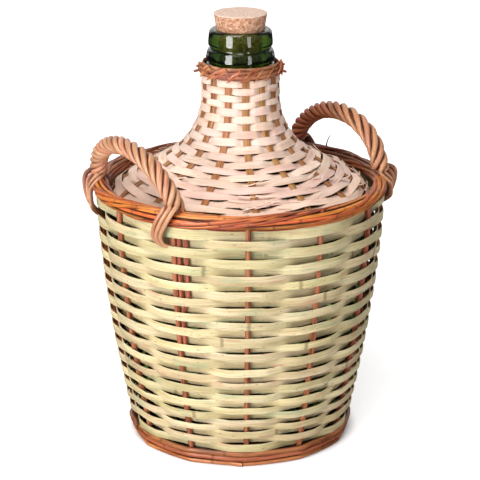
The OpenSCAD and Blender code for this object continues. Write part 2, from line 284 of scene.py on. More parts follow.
# Shaved willow chip: cream with a pink cast, straight fine fibres, a faint satin
def chipWood():
    return plantMaterial("shavedWillowChip", {
        "patch": (60.0, 6.0), "colours": ["e1baa2", "f0ceba", "fadece", "f0d0bb"],
        "places": [0.25, 0.45, 0.6, 0.8],
        # painted light: paler on the lower shoulder and on its side towards the top lamp, where it faces up to the
        # light
        "paintedSideLight": ("ffdac4", outwardAt(-150) * 0.3 - upward, -0.24, -0.197, 0.55),
        "blotches": [("e0aa8a", 30.0, 4.0, 0.6, 0.76, 0.5), ("b58d68", 14.0, 0.7, 0.62, 0.74, 0.5)],
        "fibre": (40.0, 0.35), "fibreShade": 0.16, "tintSpread": 0.08, "hueSpread": 0.01,
        "rough": 0.55, "bump": 0.2, "depth": 0.0002, "shine": 0.22,
    })


# Split rib with its bark off: golden brown with dark stripes along the grain
def splintWood():
    return plantMaterial("brownSplint", {
        "patch": (30.0, 1.1), "colours": ["743e1e", "a2683a", "bf8552", "985c32"],
        "places": [0.3, 0.44, 0.6, 0.75],
        "blotches": [("5e361b", 14.0, 0.7, 0.6, 0.72, 0.6)],
        "fibre": (20.0, 0.35), "fibreShade": 0.16, "tintSpread": 0.1, "hueSpread": 0.012,
        "rough": 0.5, "bump": 0.4, "depth": 0.0003, "shine": 0.35,
    })


# Lacing round the neck: thin brown skein, lighter on the flaps and red-brown on the laces under them, which is
# painted shade
def collarSkein():
    return plantMaterial("brownLacing", {
        "patch": (9.0, 2.0), "colours": ["7c3a1e", "b86f45", "dd9c6b", "c67f4e"],
        "places": [0.3, 0.44, 0.6, 0.76],
        "blotches": [("5a2412", 8.0, 1.0, 0.6, 0.72, 0.6), ("eab28a", 9.0, 1.2, 0.62, 0.74, 0.6)],
        "fibre": (12.0, 0.35), "fibreShade": 0.25, "tintSpread": 0.34, "hueSpread": 0.012,
        "rough": 0.5, "bump": 0.5, "depth": 0.0004, "shine": 0.35,
    })


# Buff willow rod in its boiled bark: orange to red-brown, smooth, with wrinkles and small knots
def buffWillow(name, colours):
    return plantMaterial(name, {
        "patch": (42.0, 3.0), "colours": colours, "places": [0.25, 0.4, 0.52, 0.64, 0.8],
        # painted shade: dark red-brown on the back of the basket, partly also the bark's own darker colour there, and
        # in the hollows between the rods
        "paintedSideLight": ("541d0d", outwardAt(50), -0.03, 0.08, 0.8), "hollow": ("43180a", 1.1, 0.2, 0.85),
        "blotches": [("66290f", 16.0, 1.3, 0.58, 0.7, 0.6), ("e6a068", 20.0, 1.2, 0.62, 0.74, 0.6)],
        "fibre": (9.0, 0.5), "fibreShade": 0.3, "tintSpread": 0.3, "hueSpread": 0.014,
        "rough": 0.4, "bump": 0.5, "depth": 0.0005, "shine": 0.5,
        "knot": {"step": 85.0, "wide": 1.6, "ragged": 3.0, "strength": 0.5, "ridge": 1.6,
                 "colour": "5d2a15"},
    })


# The handles' rods: the same willow, older and paler, tan, with painted shade in the hollows between the rods
def handleWillow(name, colours, paintedSideLight):
    return plantMaterial(name, {
        "patch": (36.0, 3.0), "colours": colours, "places": [0.25, 0.42, 0.56, 0.72],
        "paintedSideLight": paintedSideLight, "hollow": ("5d2a17", 1.5, 0.3, 0.8),
        "blotches": [("7a3a22", 14.0, 1.3, 0.62, 0.76, 0.45), ("f0b78c", 18.0, 1.2, 0.62, 0.76, 0.45)],
        "fibre": (8.0, 0.5), "fibreShade": 0.22, "tintSpread": 0.14, "hueSpread": 0.008,
        "rough": 0.42, "bump": 0.5, "depth": 0.0005, "shine": 0.45,
    })


# Stakes: reddish brown bark with a grey bloom
def stakeBark():
    return plantMaterial("redStakeBark", {
        "patch": (24.0, 2.0), "colours": ["76381f", "a95b3d", "cb7854", "b96b4b"],
        "places": [0.28, 0.45, 0.6, 0.78],
        "blotches": [("8a7468", 12.0, 1.4, 0.62, 0.76, 0.5)],
        "fibre": (7.0, 0.5), "fibreShade": 0.2, "tintSpread": 0.14, "hueSpread": 0.01,
        "rough": 0.5, "bump": 0.5, "depth": 0.0005, "shine": 0.35,
    })


# Bottle green glass, pressed in the mouth and blown below: fire polished, dark where it is thick
def bottleGlass():
    material, tree, shader = startMaterial("bottleGreenGlass")
    shader.inputs["Base Color"].default_value = toLinear("e9f2dc")
    shader.inputs["Roughness"].default_value = 0.02
    shader.inputs["IOR"].default_value = 1.52
    shader.inputs["Transmission Weight"].default_value = 1.0
    place = addNode(tree, "ShaderNodeTexCoord")
    ripple = addNode(tree, "ShaderNodeTexNoise", None,
                     {"Vector": place.outputs["Object"], "Scale": 60.0, "Detail": 1.0})
    bump = addNode(tree, "ShaderNodeBump", None,
                   {"Strength": 0.016, "Distance": 0.001, "Height": ripple.outputs["Fac"]})
    tree.links.new(bump.outputs["Normal"], shader.inputs["Normal"])
    # the green deepens with the way that light goes through the glass: 3 mm is olive, 30 mm nearly black
    tint = addNode(tree, "ShaderNodeVolumeAbsorption", None, {"Color": toLinear("b0c672"), "Density": 258.0})
    tree.links.new(tint.outputs["Volume"], tree.nodes["Material Output"].inputs["Volume"])
    return material


# Pressed cork: grains of 1 to 3 mm in three browns, dark specks between them, dry and dull
def pressedCork():
    material, tree, shader = startMaterial("pressedCork")
    place = addNode(tree, "ShaderNodeTexCoord")
    bent = addNode(tree, "ShaderNodeTexNoise", None,
                   {"Vector": place.outputs["Object"], "Scale": 500.0, "Detail": 2.0})
    jittered = addNode(tree, "ShaderNodeVectorMath", {"operation": "MULTIPLY_ADD"},
                       {0: bent.outputs["Color"], 1: (0.0012, 0.0012, 0.0012),
                        2: place.outputs["Object"]})
    grains = addNode(tree, "ShaderNodeTexVoronoi", None,
                     {"Vector": jittered.outputs["Vector"], "Scale": 520.0})
    pick = addNode(tree, "ShaderNodeSeparateColor", None, {"Color": grains.outputs["Color"]})
    colour = setRamp(addNode(tree, "ShaderNodeValToRGB", None, {"Fac": pick.outputs["Red"]}),
                     ["b37b59", "c99474", "d5a78b", "e6bfa4"], [0.05, 0.3, 0.6, 0.9])
    edges = addNode(tree, "ShaderNodeTexVoronoi", {"feature": "DISTANCE_TO_EDGE"},
                    {"Vector": jittered.outputs["Vector"], "Scale": 520.0})
    specks = addNode(tree, "ShaderNodeTexNoise", None,
                     {"Vector": place.outputs["Object"], "Scale": 700.0, "Detail": 2.0})
    # the top is paler than the side: painted light on the face turned up to the lamps
    split = addNode(tree, "ShaderNodeSeparateXYZ", None, {"Vector": place.outputs["Object"]})
    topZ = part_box("cork_stopper")[1].z
    colour = blotch(tree, colour, "ffe4d2", split.outputs["Z"], topZ - 0.0012, topZ - 0.0004, 0.8)
    colour = blotch(tree, colour, "8a5030", specks.outputs["Fac"], 0.58, 0.66, 0.75)
    colour = blotch(tree, colour, "9c6444", edges.outputs["Distance"], 0.07, 0.0, 0.5)
    tree.links.new(colour, shader.inputs["Base Color"])
    shader.inputs["Roughness"].default_value = 0.85
    shader.inputs["Specular IOR Level"].default_value = 0.2
    bump = addNode(tree, "ShaderNodeBump", None,
                   {"Strength": 0.5, "Distance": 0.0004, "Height": grains.outputs["Distance"]})
    tree.links.new(bump.outputs["Normal"], shader.inputs["Normal"])
    return material


# Matt white floor that shows as white, or nearly, wherever the object doesn't shade it
def floorPaint(glow):
    material, tree, shader = startMaterial("whiteFloorPaint")
    shader.inputs["Roughness"].default_value = 0.9
    shader.inputs["Specular IOR Level"].default_value = 0.0
    path = addNode(tree, "ShaderNodeLightPath")
    # glass and bark mirror it darker than it is
    paint = addNode(tree, "ShaderNodeMix", {"data_type": "RGBA"},
                    {0: path.outputs["Is Glossy Ray"], 6: toLinear("efefef"), 7: toLinear("5a5a5a")})
    tree.links.new(paint.outputs[2], shader.inputs["Base Color"])
    seen = addNode(tree, "ShaderNodeMath", {"operation": "MAXIMUM"},
                   {0: path.outputs["Is Camera Ray"], 1: path.outputs["Is Transmission Ray"]})
    # no glow under the basket, fading in over a band just round the foot, which is painted contact shadow there, and
    # more far away, where the lamps don't reach
    place = addNode(tree, "ShaderNodeTexCoord")
    distance = addNode(tree, "ShaderNodeVectorMath", {"operation": "LENGTH"}, {0: place.outputs["Object"]})
    near, far = studio["glowFrom"]
    clear = addNode(tree, "ShaderNodeMapRange", {"interpolation_type": "SMOOTHSTEP"},
                    {"Value": distance.outputs["Value"], "From Min": near, "From Max": far, "To Max": glow})
    full = addNode(tree, "ShaderNodeMapRange", None,
                   {"Value": distance.outputs["Value"], "From Min": 0.4, "From Max": 2.5,
                    "To Min": clear.outputs["Result"], "To Max": 1.0})
    strength = addNode(tree, "ShaderNodeMath", {"operation": "MULTIPLY"},
                       {0: seen.outputs["Value"], 1: full.outputs["Result"]})
    glowing = addNode(tree, "ShaderNodeEmission", None, {"Strength": strength.outputs["Value"]})
    added = addNode(tree, "ShaderNodeAddShader", None,
                    {0: shader.outputs["BSDF"], 1: glowing.outputs["Emission"]})
    tree.links.new(added.outputs["Shader"], tree.nodes["Material Output"].inputs["Surface"])
    return material


def makeFloor():
    bm = bmesh.new()
    bmesh.ops.create_grid(bm, x_segments=1, y_segments=1, size=studio["floorSize"] / 2)
    mesh = bpy.data.meshes.new("studioFloor")
    bm.to_mesh(mesh)
    bm.free()
    mesh.materials.append(floorPaint(studio["floorGlow"]))
    floor = bpy.data.objects.new("studioFloor", mesh)
    bpy.context.scene.collection.objects.link(floor)


def makeSoftBox(name, place, size, power, aimHeight):
    data = bpy.data.lights.new(name, "AREA")
    data.shape = "RECTANGLE"
    data.size = size[0]
    data.size_y = size[1]
    data.energy = power
    lamp = bpy.data.objects.new(name, data)
    bpy.context.scene.collection.objects.link(lamp)
    lamp.location = place
    aim = Vector((0, 0, aimHeight)) - Vector(place)
    lamp.rotation_euler = aim.to_track_quat("-Z", "Y").to_euler()
    return lamp


# An upright lamp at an azimuth and distance, which faces the axis
def makePanel(name, azimuth, away, low, width, height, power):
    turn = math.radians(azimuth)
    middle = low + height / 2
    return makeSoftBox(name, (away * math.sin(turn), -away * math.cos(turn), middle), (width, height), power, middle)


def makeWorld(strength, mirrored):
    world = bpy.data.worlds.new("whiteStudio")
    bpy.context.scene.world = world
    world.use_nodes = True
    tree = world.node_tree
    path = addNode(tree, "ShaderNodeLightPath")
    seen = addNode(tree, "ShaderNodeMath", {"operation": "MAXIMUM"},
                   {0: path.outputs["Is Camera Ray"], 1: path.outputs["Is Transmission Ray"]})
    dim = addNode(tree, "ShaderNodeMapRange", None,
                  {"Value": path.outputs["Is Glossy Ray"], "To Min": strength, "To Max": mirrored})
    level = addNode(tree, "ShaderNodeMapRange", None,
                    {"Value": seen.outputs["Value"], "To Min": dim.outputs["Result"], "To Max": 1.0})
    background = tree.nodes["Background"]
    background.inputs["Color"].default_value = (1, 1, 1, 1)
    tree.links.new(level.outputs["Result"], background.inputs["Strength"])


def makeStudio():
    makeFloor()
    makeWorld(studio["worldStrength"], studio["mirroredWorld"])
    for name, panel in studio["panels"].items():
        lamp = makePanel(name, *panel)
        lamp.visible_diffuse = lamp.visible_camera = lamp.visible_transmission = False
    makePanel("sideSoftBox", *studio["sideSoftBox"]).visible_glossy = False
    makeSoftBox("topSoftBox", studio["topPlace"], (studio["topSize"],) * 2, studio["topPower"], 0.2)
    bpy.context.scene.view_settings.view_transform = "Standard"


# A unit vector that points away from the axis at an angle in degrees
def outwardAt(angle):
    turn = math.radians(angle)
    return Vector((math.cos(turn), math.sin(turn), 0))


upward = Vector((0, 0, 1))


# A value from -1 to 1 that changes smoothly round the basket and closes on itself
def wander(seed, angle, bends):
    return noise.noise(outwardAt(angle) * bends + upward * seed)


# 1 in front of one upright and -1 behind the next, flat where it passes them. More steep and
# more forward is a strip that lies in front except just behind its uprights.
def weave(angle, uprights, side, steep=1.4, forward=0.0):
    return max(-1, min(1, steep * (side * math.cos(math.radians(angle * uprights / 2)) + forward)))


# Adds a rod or strip to a piece: a cylinder cut into stations and bent along them. A station
# is a point and the two half widths of the section there; corner 1 is round, less is boxy.
def addStrand(target, stations, tint, corner=1.0, points=8):
    bm = bmesh.new()
    grain = bm.verts.layers.float_vector.new("grain")
    shade = bm.verts.layers.float.new("tint")
    steps = len(stations) - 1
    bmesh.ops.create_cone(bm, cap_ends=True, cap_tris=False, segments=points, radius1=1, radius2=1,
                          depth=steps)
    lengthwise = [e for e in bm.edges if abs(e.verts[0].co.z - e.verts[1].co.z) > 0.5]
    bmesh.ops.subdivide_edges(bm, edges=lengthwise, cuts=steps - 1, use_grid_fill=True)
    runs = [0.0]
    for near, far in zip(stations, stations[1:]):
        runs.append(runs[-1] + (far[0] - near[0]).length)
    for vert in bm.verts:
        at = round(vert.co.z + steps / 2)
        point, thick, wide = stations[at]
        x = math.copysign(abs(vert.co.x) ** corner, vert.co.x)
        y = math.copysign(abs(vert.co.y) ** corner, vert.co.y)
        vert[grain] = (runs[at], x * thick.length, y * wide.length)
        vert[shade] = tint
        vert.co = point + x * thick + y * wide
    bmesh.ops.recalc_face_normals(bm, faces=bm.faces)
    strandMesh = bpy.data.meshes.new("strand")
    bm.to_mesh(strandMesh)
    bm.free()
    target.from_mesh(strandMesh)
    bpy.data.meshes.remove(strandMesh)


# Stations of a round rod along a path, with a radius for each point. Its sides, which are one
# direction or one for each point, keep it from twisting.
def rodStations(path, radii, sides):
    stations = []
    for i, point in enumerate(path):
        way = (path[min(i + 1, len(path) - 1)] - path[max(i - 1, 0)]).normalized()
        side = sides[i] if isinstance(sides, list) else sides
        across = (side - side.dot(way) * way).normalized()
        stations.append((point, across * radii[i], way.cross(across) * radii[i]))
    return stations


# A smooth path of count points through a few corner points
def smoothPath(corners, count):
    path = []
    last = len(corners) - 1
    for n in range(count):
        at = n / (count - 1) * last
        i = min(int(at), last - 1)
        t = at - i
        a, b, c, d = (corners[max(0, min(last, j))] for j in (i - 1, i, i + 1, i + 2))
        path.append(0.5 * (2 * b + (c - a) * t + (2 * a - 5 * b + 4 * c - d) * t * t
                           + (3 * b - a - 3 * c + d) * t ** 3))
    return path


def finishPiece(bm, name, material, nodes, body=basketBody, sharp=60):
    bmesh.ops.scale(bm, vec=(metresPerMm,) * 3, verts=bm.verts)
    mesh = bpy.data.meshes.new(name)
    bm.to_mesh(mesh)
    bm.free()
    mesh.shade_smooth()
    mesh.set_sharp_from_angle(angle=math.radians(sharp))
    mesh.materials.append(material)
    piece = bpy.data.objects.new(name, mesh)
    bpy.context.scene.collection.objects.link(piece)
    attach(piece, body)
    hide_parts(*nodes)
    print("made", name, len(mesh.polygons), "faces")
    return piece


def newPiece():
    bm = bmesh.new()
    bm.verts.layers.float_vector.new("grain")
    bm.verts.layers.float.new("tint")
    return bm


# Radius of the stakes' circle at a height
def wallRadius(z):
    rest = max(0, 1 - (z - wall["footZ"]) / (wall["rimZ"] - wall["footZ"]))
    return wall["rimRadius"] - (wall["rimRadius"] - wall["footRadius"]) * rest ** wall["bow"]


# Angle by which the wall leans outwards at a height
def wallLean(z):
    return math.atan((wallRadius(z + 1) - wallRadius(z - 1)) / 2)


# Heights of the edges between rows, which are never quite even
def rowEdges():
    rng = random.Random(11)
    rowTop = 2 * (wall["rimZ"] - wall["footZ"]) / wall["rows"] - wall["rowLow"]
    growth = (rowTop - wall["rowLow"]) / (wall["rows"] - 1)
    edges = [wall["footZ"] + k * wall["rowLow"] + growth * k * (k - 1) / 2 for k in range(wall["rows"] + 1)]
    edges[0] -= 1.2  # the outer rows are pushed into the borders
    edges[-1] += 1.2
    return [z + (rng.uniform(-0.7, 0.7) if 0 < k < wall["rows"] else 0) for k, z in enumerate(edges)]


# One row of cane. Its ends lap behind a stake, one under the other.
def caneStations(row, low, high):
    rng = random.Random(row * 17 + 5)
    side = 1 if row % 2 == 0 else -1
    spacing = 360 / wall["stakes"]
    hidden = side > 0
    if rng.random() < wall["openLaps"]:
        hidden = not hidden
    start = spacing * (2 * rng.randrange(wall["stakes"] // 2) + (1 if hidden else 0)) - wall["lap"]
    turn = 360 + 2 * wall["lap"]
    push = [rng.uniform(-0.7, 0.7) for _ in range(wall["stakes"] + 2)]
    free = min(1, (row + 0.4) / 2, (wall["rows"] - 0.6 - row) / 2)  # the outer rows keep to the borders
    stations = []
    for step in range(wall["steps"] + 1):
        angle = start + turn * step / wall["steps"]
        crossing = weave(angle, wall["stakes"], side)
        z = (low + high) / 2
        z += free * (1.3 * wander(row * 0.13, angle, 1.7) + 0.55 * wander(row * 3.7, angle, 3.2))
        z += free * push[round((angle - start) / spacing)] * crossing ** 2 * (0.8 if crossing < 0 else 0.45)
        half = (high - low) / 2 * wall["fill"] * (1 + 0.1 * wander(row * 5.3, angle, 2.6))
        half *= 1 + wall["spreadBehind"] * max(0, -crossing)
        tucked = max(0, 1 - (angle - start) / (1.6 * wall["lap"]))
        radius = wallRadius(z) + wall["swing"] * crossing + 0.25 * wander(row * 2.9, angle, 5) - 0.9 * tucked
        roll = wallLean(z) + math.radians(7) * wander(row * 1.9, angle, 4)
        out = outwardAt(angle)
        thickWay = out * math.cos(roll) - upward * math.sin(roll)
        wideWay = out * math.sin(roll) + upward * math.cos(roll)
        stations.append((out * radius + upward * z, thickWay * wall["thick"] / 2, wideWay * half))
    return stations


def makeWall(material):
    edges = rowEdges()
    for first, letter in enumerate("ab"):
        piece = newPiece()
        for row in range(first, wall["rows"], 2):
            tint = random.Random(row * 3 + 1).random()
            addStrand(piece, caneStations(row, edges[row], edges[row + 1]), tint, 0.45, 10)
        finishPiece(piece, "caneWeaver" + letter.upper(), material, ["wall_weaver_" + letter],
                    sharp=32)


# Stakes come up through the foot border, follow the wall and end inside the rim border
def makeStakes(material):
    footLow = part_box("foot_border")[0].z / metresPerMm + 3
    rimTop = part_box("rim_border")[1].z / metresPerMm
    lowRadius = 84.5
    for i in range(wall["stakes"]):
        piece = newPiece()
        angle = i * 360 / wall["stakes"]
        out = outwardAt(angle)
        rng = random.Random(i + 40)
        heights = [wall["footZ"] + (rimTop - 1 - wall["footZ"]) * n / 40 for n in range(41)]
        path = [out * lowRadius + upward * footLow] + [out * wallRadius(z) + upward * z for z in heights]
        lump = rng.uniform(0, 50)
        radii = [wall["stakeRadius"] * (1 + 0.05 * noise.noise(Vector((lump, p.z * 0.05, 0)))) for p in path]
        side = out.cross(upward)
        addStrand(piece, rodStations(path, radii, side), rng.random(), 1, 10)
        name = "%02d" % (i + 1)
        finishPiece(piece, "stake" + name, material, ["wall_stake_" + name])


# Lengths of the rib line's four stretches: neck, hollow curve, slope and round edge
def lineStretches():
    turn = math.radians(ribLine["slopeTurn"])
    return (ribLine["topZ"] - ribLine["hollowZ"], ribLine["hollowRadius"] * turn, ribLine["slopeLength"],
            ribLine["edgeRadius"] * turn)


# Point [radius, height] of the rib line at length s from its top, and the turn from upright there
def lineAt(s):
    neck, hollow, slope, edge = lineStretches()
    turn = math.radians(ribLine["slopeTurn"])
    neckRadius, hollowRadius = ribLine["neckRadius"], ribLine["hollowRadius"]
    if s < neck:
        return neckRadius, ribLine["topZ"] - s, 0.0
    if s < neck + hollow:
        a = (s - neck) / hollowRadius
        return (neckRadius + hollowRadius * (1 - math.cos(a)),
                ribLine["hollowZ"] - hollowRadius * math.sin(a), a)
    startR = neckRadius + hollowRadius * (1 - math.cos(turn))
    startZ = ribLine["hollowZ"] - hollowRadius * math.sin(turn)
    onSlope = min(s - neck - hollow, slope)
    r = startR + onSlope * math.sin(turn)
    z = startZ - onSlope * math.cos(turn)
    if s < neck + hollow + slope:
        return r, z, turn
    a = turn - (s - neck - hollow - slope) / ribLine["edgeRadius"]
    centreR = r - ribLine["edgeRadius"] * math.cos(turn)
    centreZ = z - ribLine["edgeRadius"] * math.sin(turn)
    return (centreR + ribLine["edgeRadius"] * math.cos(a), centreZ + ribLine["edgeRadius"] * math.sin(a), a)


# Place on the rib line at an angle round the axis, moved out by offset, with the ways out and up
def linePlace(s, angle, offset):
    radius, z, turn = lineAt(s)
    out = outwardAt(angle)
    away = out * math.cos(turn) + upward * math.sin(turn)
    up = upward * math.cos(turn) - out * math.sin(turn)
    return out * radius + upward * z + away * offset, away, up


# The shoulder's chips: rows round fourteen ribs, wider towards the rim
shoulder = {
    "ribs": 14,
    "ribWidth": 5.8,
    "ribThick": 1.0,
    "rows": 22,
    "from": 4.4,
    "topWidth": 5.5,
    "endGap": 1.0,
    "thick": 0.5,
    "fill": (1.0, 1.22),
    "looseAzimuth": -35.0,
    "rise": (0.75, 1.3),
    "chord": 0.45,
    "lap": 9.0,
    "slivers": 110,
    "steps": 150,
}


def chipEdges():
    rng = random.Random(23)
    total = sum(lineStretches())
    lowWidth = 2 * (total - shoulder["endGap"] - shoulder["from"]) / shoulder["rows"] - shoulder["topWidth"]
    growth = (lowWidth - shoulder["topWidth"]) / (shoulder["rows"] - 1)
    edges = [shoulder["from"] + k * shoulder["topWidth"] + growth * k * (k - 1) / 2
             for k in range(shoulder["rows"] + 1)]
    return [s + (rng.uniform(-0.4, 0.4) if k else 0) for k, s in enumerate(edges)]


# One row of chip, drawn nearly straight from rib to rib
def chipStations(row, top, bottom):
    rng = random.Random(row * 13 + 3)
    side = 1 if row % 2 == 0 else -1
    spacing = 360 / shoulder["ribs"]
    behind = spacing * (2 * rng.randrange(shoulder["ribs"] // 2) + (1.5 if side > 0 else 0.5))
    start = behind - shoulder["lap"]
    turn = 360 + 2 * shoulder["lap"]
    down = row / (shoulder["rows"] - 1)
    fill, rise = (low + (high - low) * down for low, high in (shoulder["fill"], shoulder["rise"]))
    stations = []
    for step in range(shoulder["steps"] + 1):
        angle = start + turn * step / shoulder["steps"]
        crossing = weave(angle - spacing / 2, shoulder["ribs"], side, 3.0, 0.4)
        loose = down ** 2 * max(0.3, math.cos(math.radians(angle - shoulder["looseAzimuth"])))
        s = (top + bottom) / 2 + 1.1 * wander(row * 0.2, angle, 1.8) + 0.4 * wander(row * 4.1, angle, 3)
        half = (bottom - top) / 2 * fill * (1 + 0.12 * wander(row * 6.3, angle, 2.5)) * (1 - 0.28 * loose)
        fromMiddle = (angle / spacing) % 1 - 0.5  # 0 at a rib, since ribs stand half way between
        toRib = 1 - abs(2 * fromMiddle)
        radius = lineAt(s)[0]
        sag = shoulder["chord"] * radius * (1 - math.cos(math.radians(spacing / 2)))
        tucked = max(0, 1 - (angle - start) / (1.5 * shoulder["lap"]))
        offset = rise * crossing - sag * (1 - toRib ** 2) * 0.9 - 0.5 * tucked
        offset += 8.0 * loose * max(0, wander(row * 7.7, angle, 3.5)) * max(0, crossing)
        point, away, up = linePlace(s, angle, max(offset, -1.62))
        roll = -math.radians(4) + math.radians(5 + 8 * down + 24 * loose) * wander(row * 2.3, angle, 4)
        thickWay = away * math.cos(roll) - up * math.sin(roll)
        wideWay = away * math.sin(roll) + up * math.cos(roll)
        stations.append((point, thickWay * shoulder["thick"] / 2, wideWay * half))
    return stations


# Splinters of chip that have come loose over the lower shoulder
def addSlivers(piece):
    rng = random.Random(77)
    total = sum(lineStretches())
    for _ in range(shoulder["slivers"]):
        s = total * rng.uniform(0.62, 0.98)
        angle = rng.uniform(0, 360)
        length = rng.uniform(9, 24)
        slant = rng.uniform(-0.45, 0.45)
        lift = rng.uniform(0.3, 2.4)
        width = rng.uniform(0.5, 1.3)
        span = math.degrees(length / lineAt(s)[0])
        stations = []
        for n in range(9):
            at = n / 8
            point, away, up = linePlace(s + slant * length * (at - 0.5), angle + span * (at - 0.5),
                                        1.9 + lift * at * at)
            stations.append((point, away * 0.15, up * width * (1 - 0.8 * at * at)))
        addStrand(piece, stations, rng.random(), 0.5, 6)


def makeShoulder(chip, splint):
    edges = chipEdges()
    for first, letter in enumerate("ab"):
        piece = newPiece()
        for row in range(first, shoulder["rows"], 2):
            tint = random.Random(row * 7 + 2).random()
            addStrand(piece, chipStations(row, edges[row], edges[row + 1]), tint, 0.25, 8)
        if letter == "a":
            addSlivers(piece)
        finishPiece(piece, "chipWeaver" + letter.upper(), chip, ["shoulder_weaver_" + letter],
                    sharp=32)
    total = sum(lineStretches())
    for i in range(shoulder["ribs"]):
        piece = newPiece()
        angle = (i + 0.5) * 360 / shoulder["ribs"]
        along = outwardAt(angle + 90)
        stations = []
        for n in range(61):
            point, away, up = linePlace(total * n / 60, angle, 0)
            stations.append((point, away * shoulder["ribThick"] / 2, along * shoulder["ribWidth"] / 2))
        addStrand(piece, stations, random.Random(i + 60).random(), 0.4, 8)
        name = "%02d" % (i + 1)
        finishPiece(piece, "rib" + name, splint, ["shoulder_rib_" + name])


# The rim: straight rods round the stakes' ends, and two groups of three that wind round them
rim = {
    "rodRadius": 1.5,
    "reach": 6.8,
    "straightRods": 8,
    "straightRing": 4.3,
    "groups": 2,
    "groupRods": 3,
    "groupSpread": 34.0,
    "turns": 3,
    "steps": 300,
    "coreRadius": 2.6,
    "twigAngle": 17.3,
}


# A rod of the rim, at a place in degrees round the bundle's section, turning as it goes round
def rimStations(place, ring, turns, seed, rng):
    low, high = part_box("rim_border")
    middleZ = (low.z + high.z) / 2 / metresPerMm
    start = rng.uniform(0, 360)
    radius = rim["rodRadius"] * rng.uniform(0.8, 1.2)
    path, radii, sides = [], [], []
    for step in range(rim["steps"] + 1):
        angle = start + 366 * step / rim["steps"]
        ends = min(step, rim["steps"] - step) / 10
        section = place + turns * angle + 22 * wander(seed * 0.8, angle, 1.6)
        reach = ring + 1.0 * wander(seed * 2.6 + 30, angle, 2.2) - 2.2 * max(0, 1 - ends)
        reach = min(reach, rim["reach"] - radius)
        turn = math.radians(section)
        sides.append(outwardAt(angle) * math.cos(turn) + upward * math.sin(turn))
        path.append(outwardAt(angle) * wall["rimRadius"] + upward * middleZ + sides[-1] * reach)
        radii.append(radius * (1 + 0.09 * wander(seed * 1.3, angle, 5)))
    return rodStations(path, radii, sides)


def makeRim(material):
    piece = newPiece()
    rng = random.Random(5)
    for rod in range(rim["straightRods"]):
        place = 360 * rod / rim["straightRods"]
        addStrand(piece, rimStations(place, rim["straightRing"], 0, rod, rng), rng.random(), 1, 8)
    for group in range(rim["groups"]):
        for rod in range(rim["groupRods"]):
            place = 360 * group / rim["groups"] + rim["groupSpread"] * rod
            stations = rimStations(place, rim["reach"] - rim["rodRadius"], rim["turns"], 20 + group + rod / 3, rng)
            addStrand(piece, stations, rng.random(), 1, 8)
    low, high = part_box("rim_border")
    middle = upward * (low.z + high.z) / 2 / metresPerMm
    # a core inside the rods, in a darker tint: painted shade in the gaps between them
    core = [outwardAt(361 * n / 120) * wall["rimRadius"] + middle for n in range(121)]
    addStrand(piece, rodStations(core, [rim["coreRadius"]] * 121, upward), 0.1, 1, 8)
    # a twig left on one of the rods
    out = outwardAt(rim["twigAngle"])
    along = upward.cross(out)
    twig = [out * (wall["rimRadius"] + 1.5) + upward * (low.z / metresPerMm + 12 + 2.7 * n) - along * 0.25 * n * n
            for n in range(5)]
    addStrand(piece, rodStations(twig, [0.7, 0.6, 0.5, 0.4, 0.3], out), 0.0, 1, 6)
    finishPiece(piece, "rimBorder", material, ["rim_border"])


# The foot: three rods outside and three inside the leaning stakes, bent round them. The lowest
# ones lie on the floor.
foot = {
    "lowRadius": 84.2,
    "lean": math.radians(13.8),
    "sides": {"inner": -4.7, "outer": 4.1},
    "heights": (1.9, 6.6, 10.8),
    "radii": (1.7, 2.15, 2.1),
    "wobble": (0.2, 0.9, 0.6),
    "flatness": 0.55,
    "spliceAngle": -126.0,
    "spliceOut": 2.2,
    "steps": 240,
}


def makeFoot(material):
    piece = newPiece()
    rng = random.Random(8)
    spacing = 360 / wall["stakes"]
    for name, side in foot["sides"].items():
        for i, height in enumerate(foot["heights"]):
            start = foot["spliceAngle"] if name == "outer" and i == 0 else rng.uniform(0, 360)
            path, radii, sides = [], [], []
            for step in range(foot["steps"] + 1):
                angle = start + 364 * step / foot["steps"]
                z = height + foot["wobble"][i] * wander(i * 3.1 + side, angle, 3)
                corner = math.cos(math.radians(spacing / 2)) / math.cos(math.radians(angle % spacing - spacing / 2))
                out = foot["lowRadius"] + z * math.tan(foot["lean"]) + side
                out *= 1 - foot["flatness"] * (1 - corner)
                out += 0.9 * wander(i * 4.7 + side * 2, angle, 4)
                out += foot["spliceOut"] * max(0, step / foot["steps"] * 60 - 59)
                path.append(outwardAt(angle) * out + upward * z)
                radii.append(foot["radii"][i] * (1 + 0.07 * wander(i + 9 + side, angle, 6) * min(i, 1)))
                sides.append(outwardAt(angle) * side)
            addStrand(piece, rodStations(path, radii, sides), (0.8, 0.25, 0.1)[i] + 0.1 * rng.random(), 0.85, 10)
    finishPiece(piece, "footBorder", material, ["foot_border"])


# The base: crossed sticks with rods woven over and under them
base = {
    "z": 7.2,
    "sticks": 6,
    "stickRadius": 1.7,
    "rodRadius": 1.55,
    "reach": 77.2,
    "inner": 13.0,
    "pitch": 3.3,
    "swing": 2.1,
}


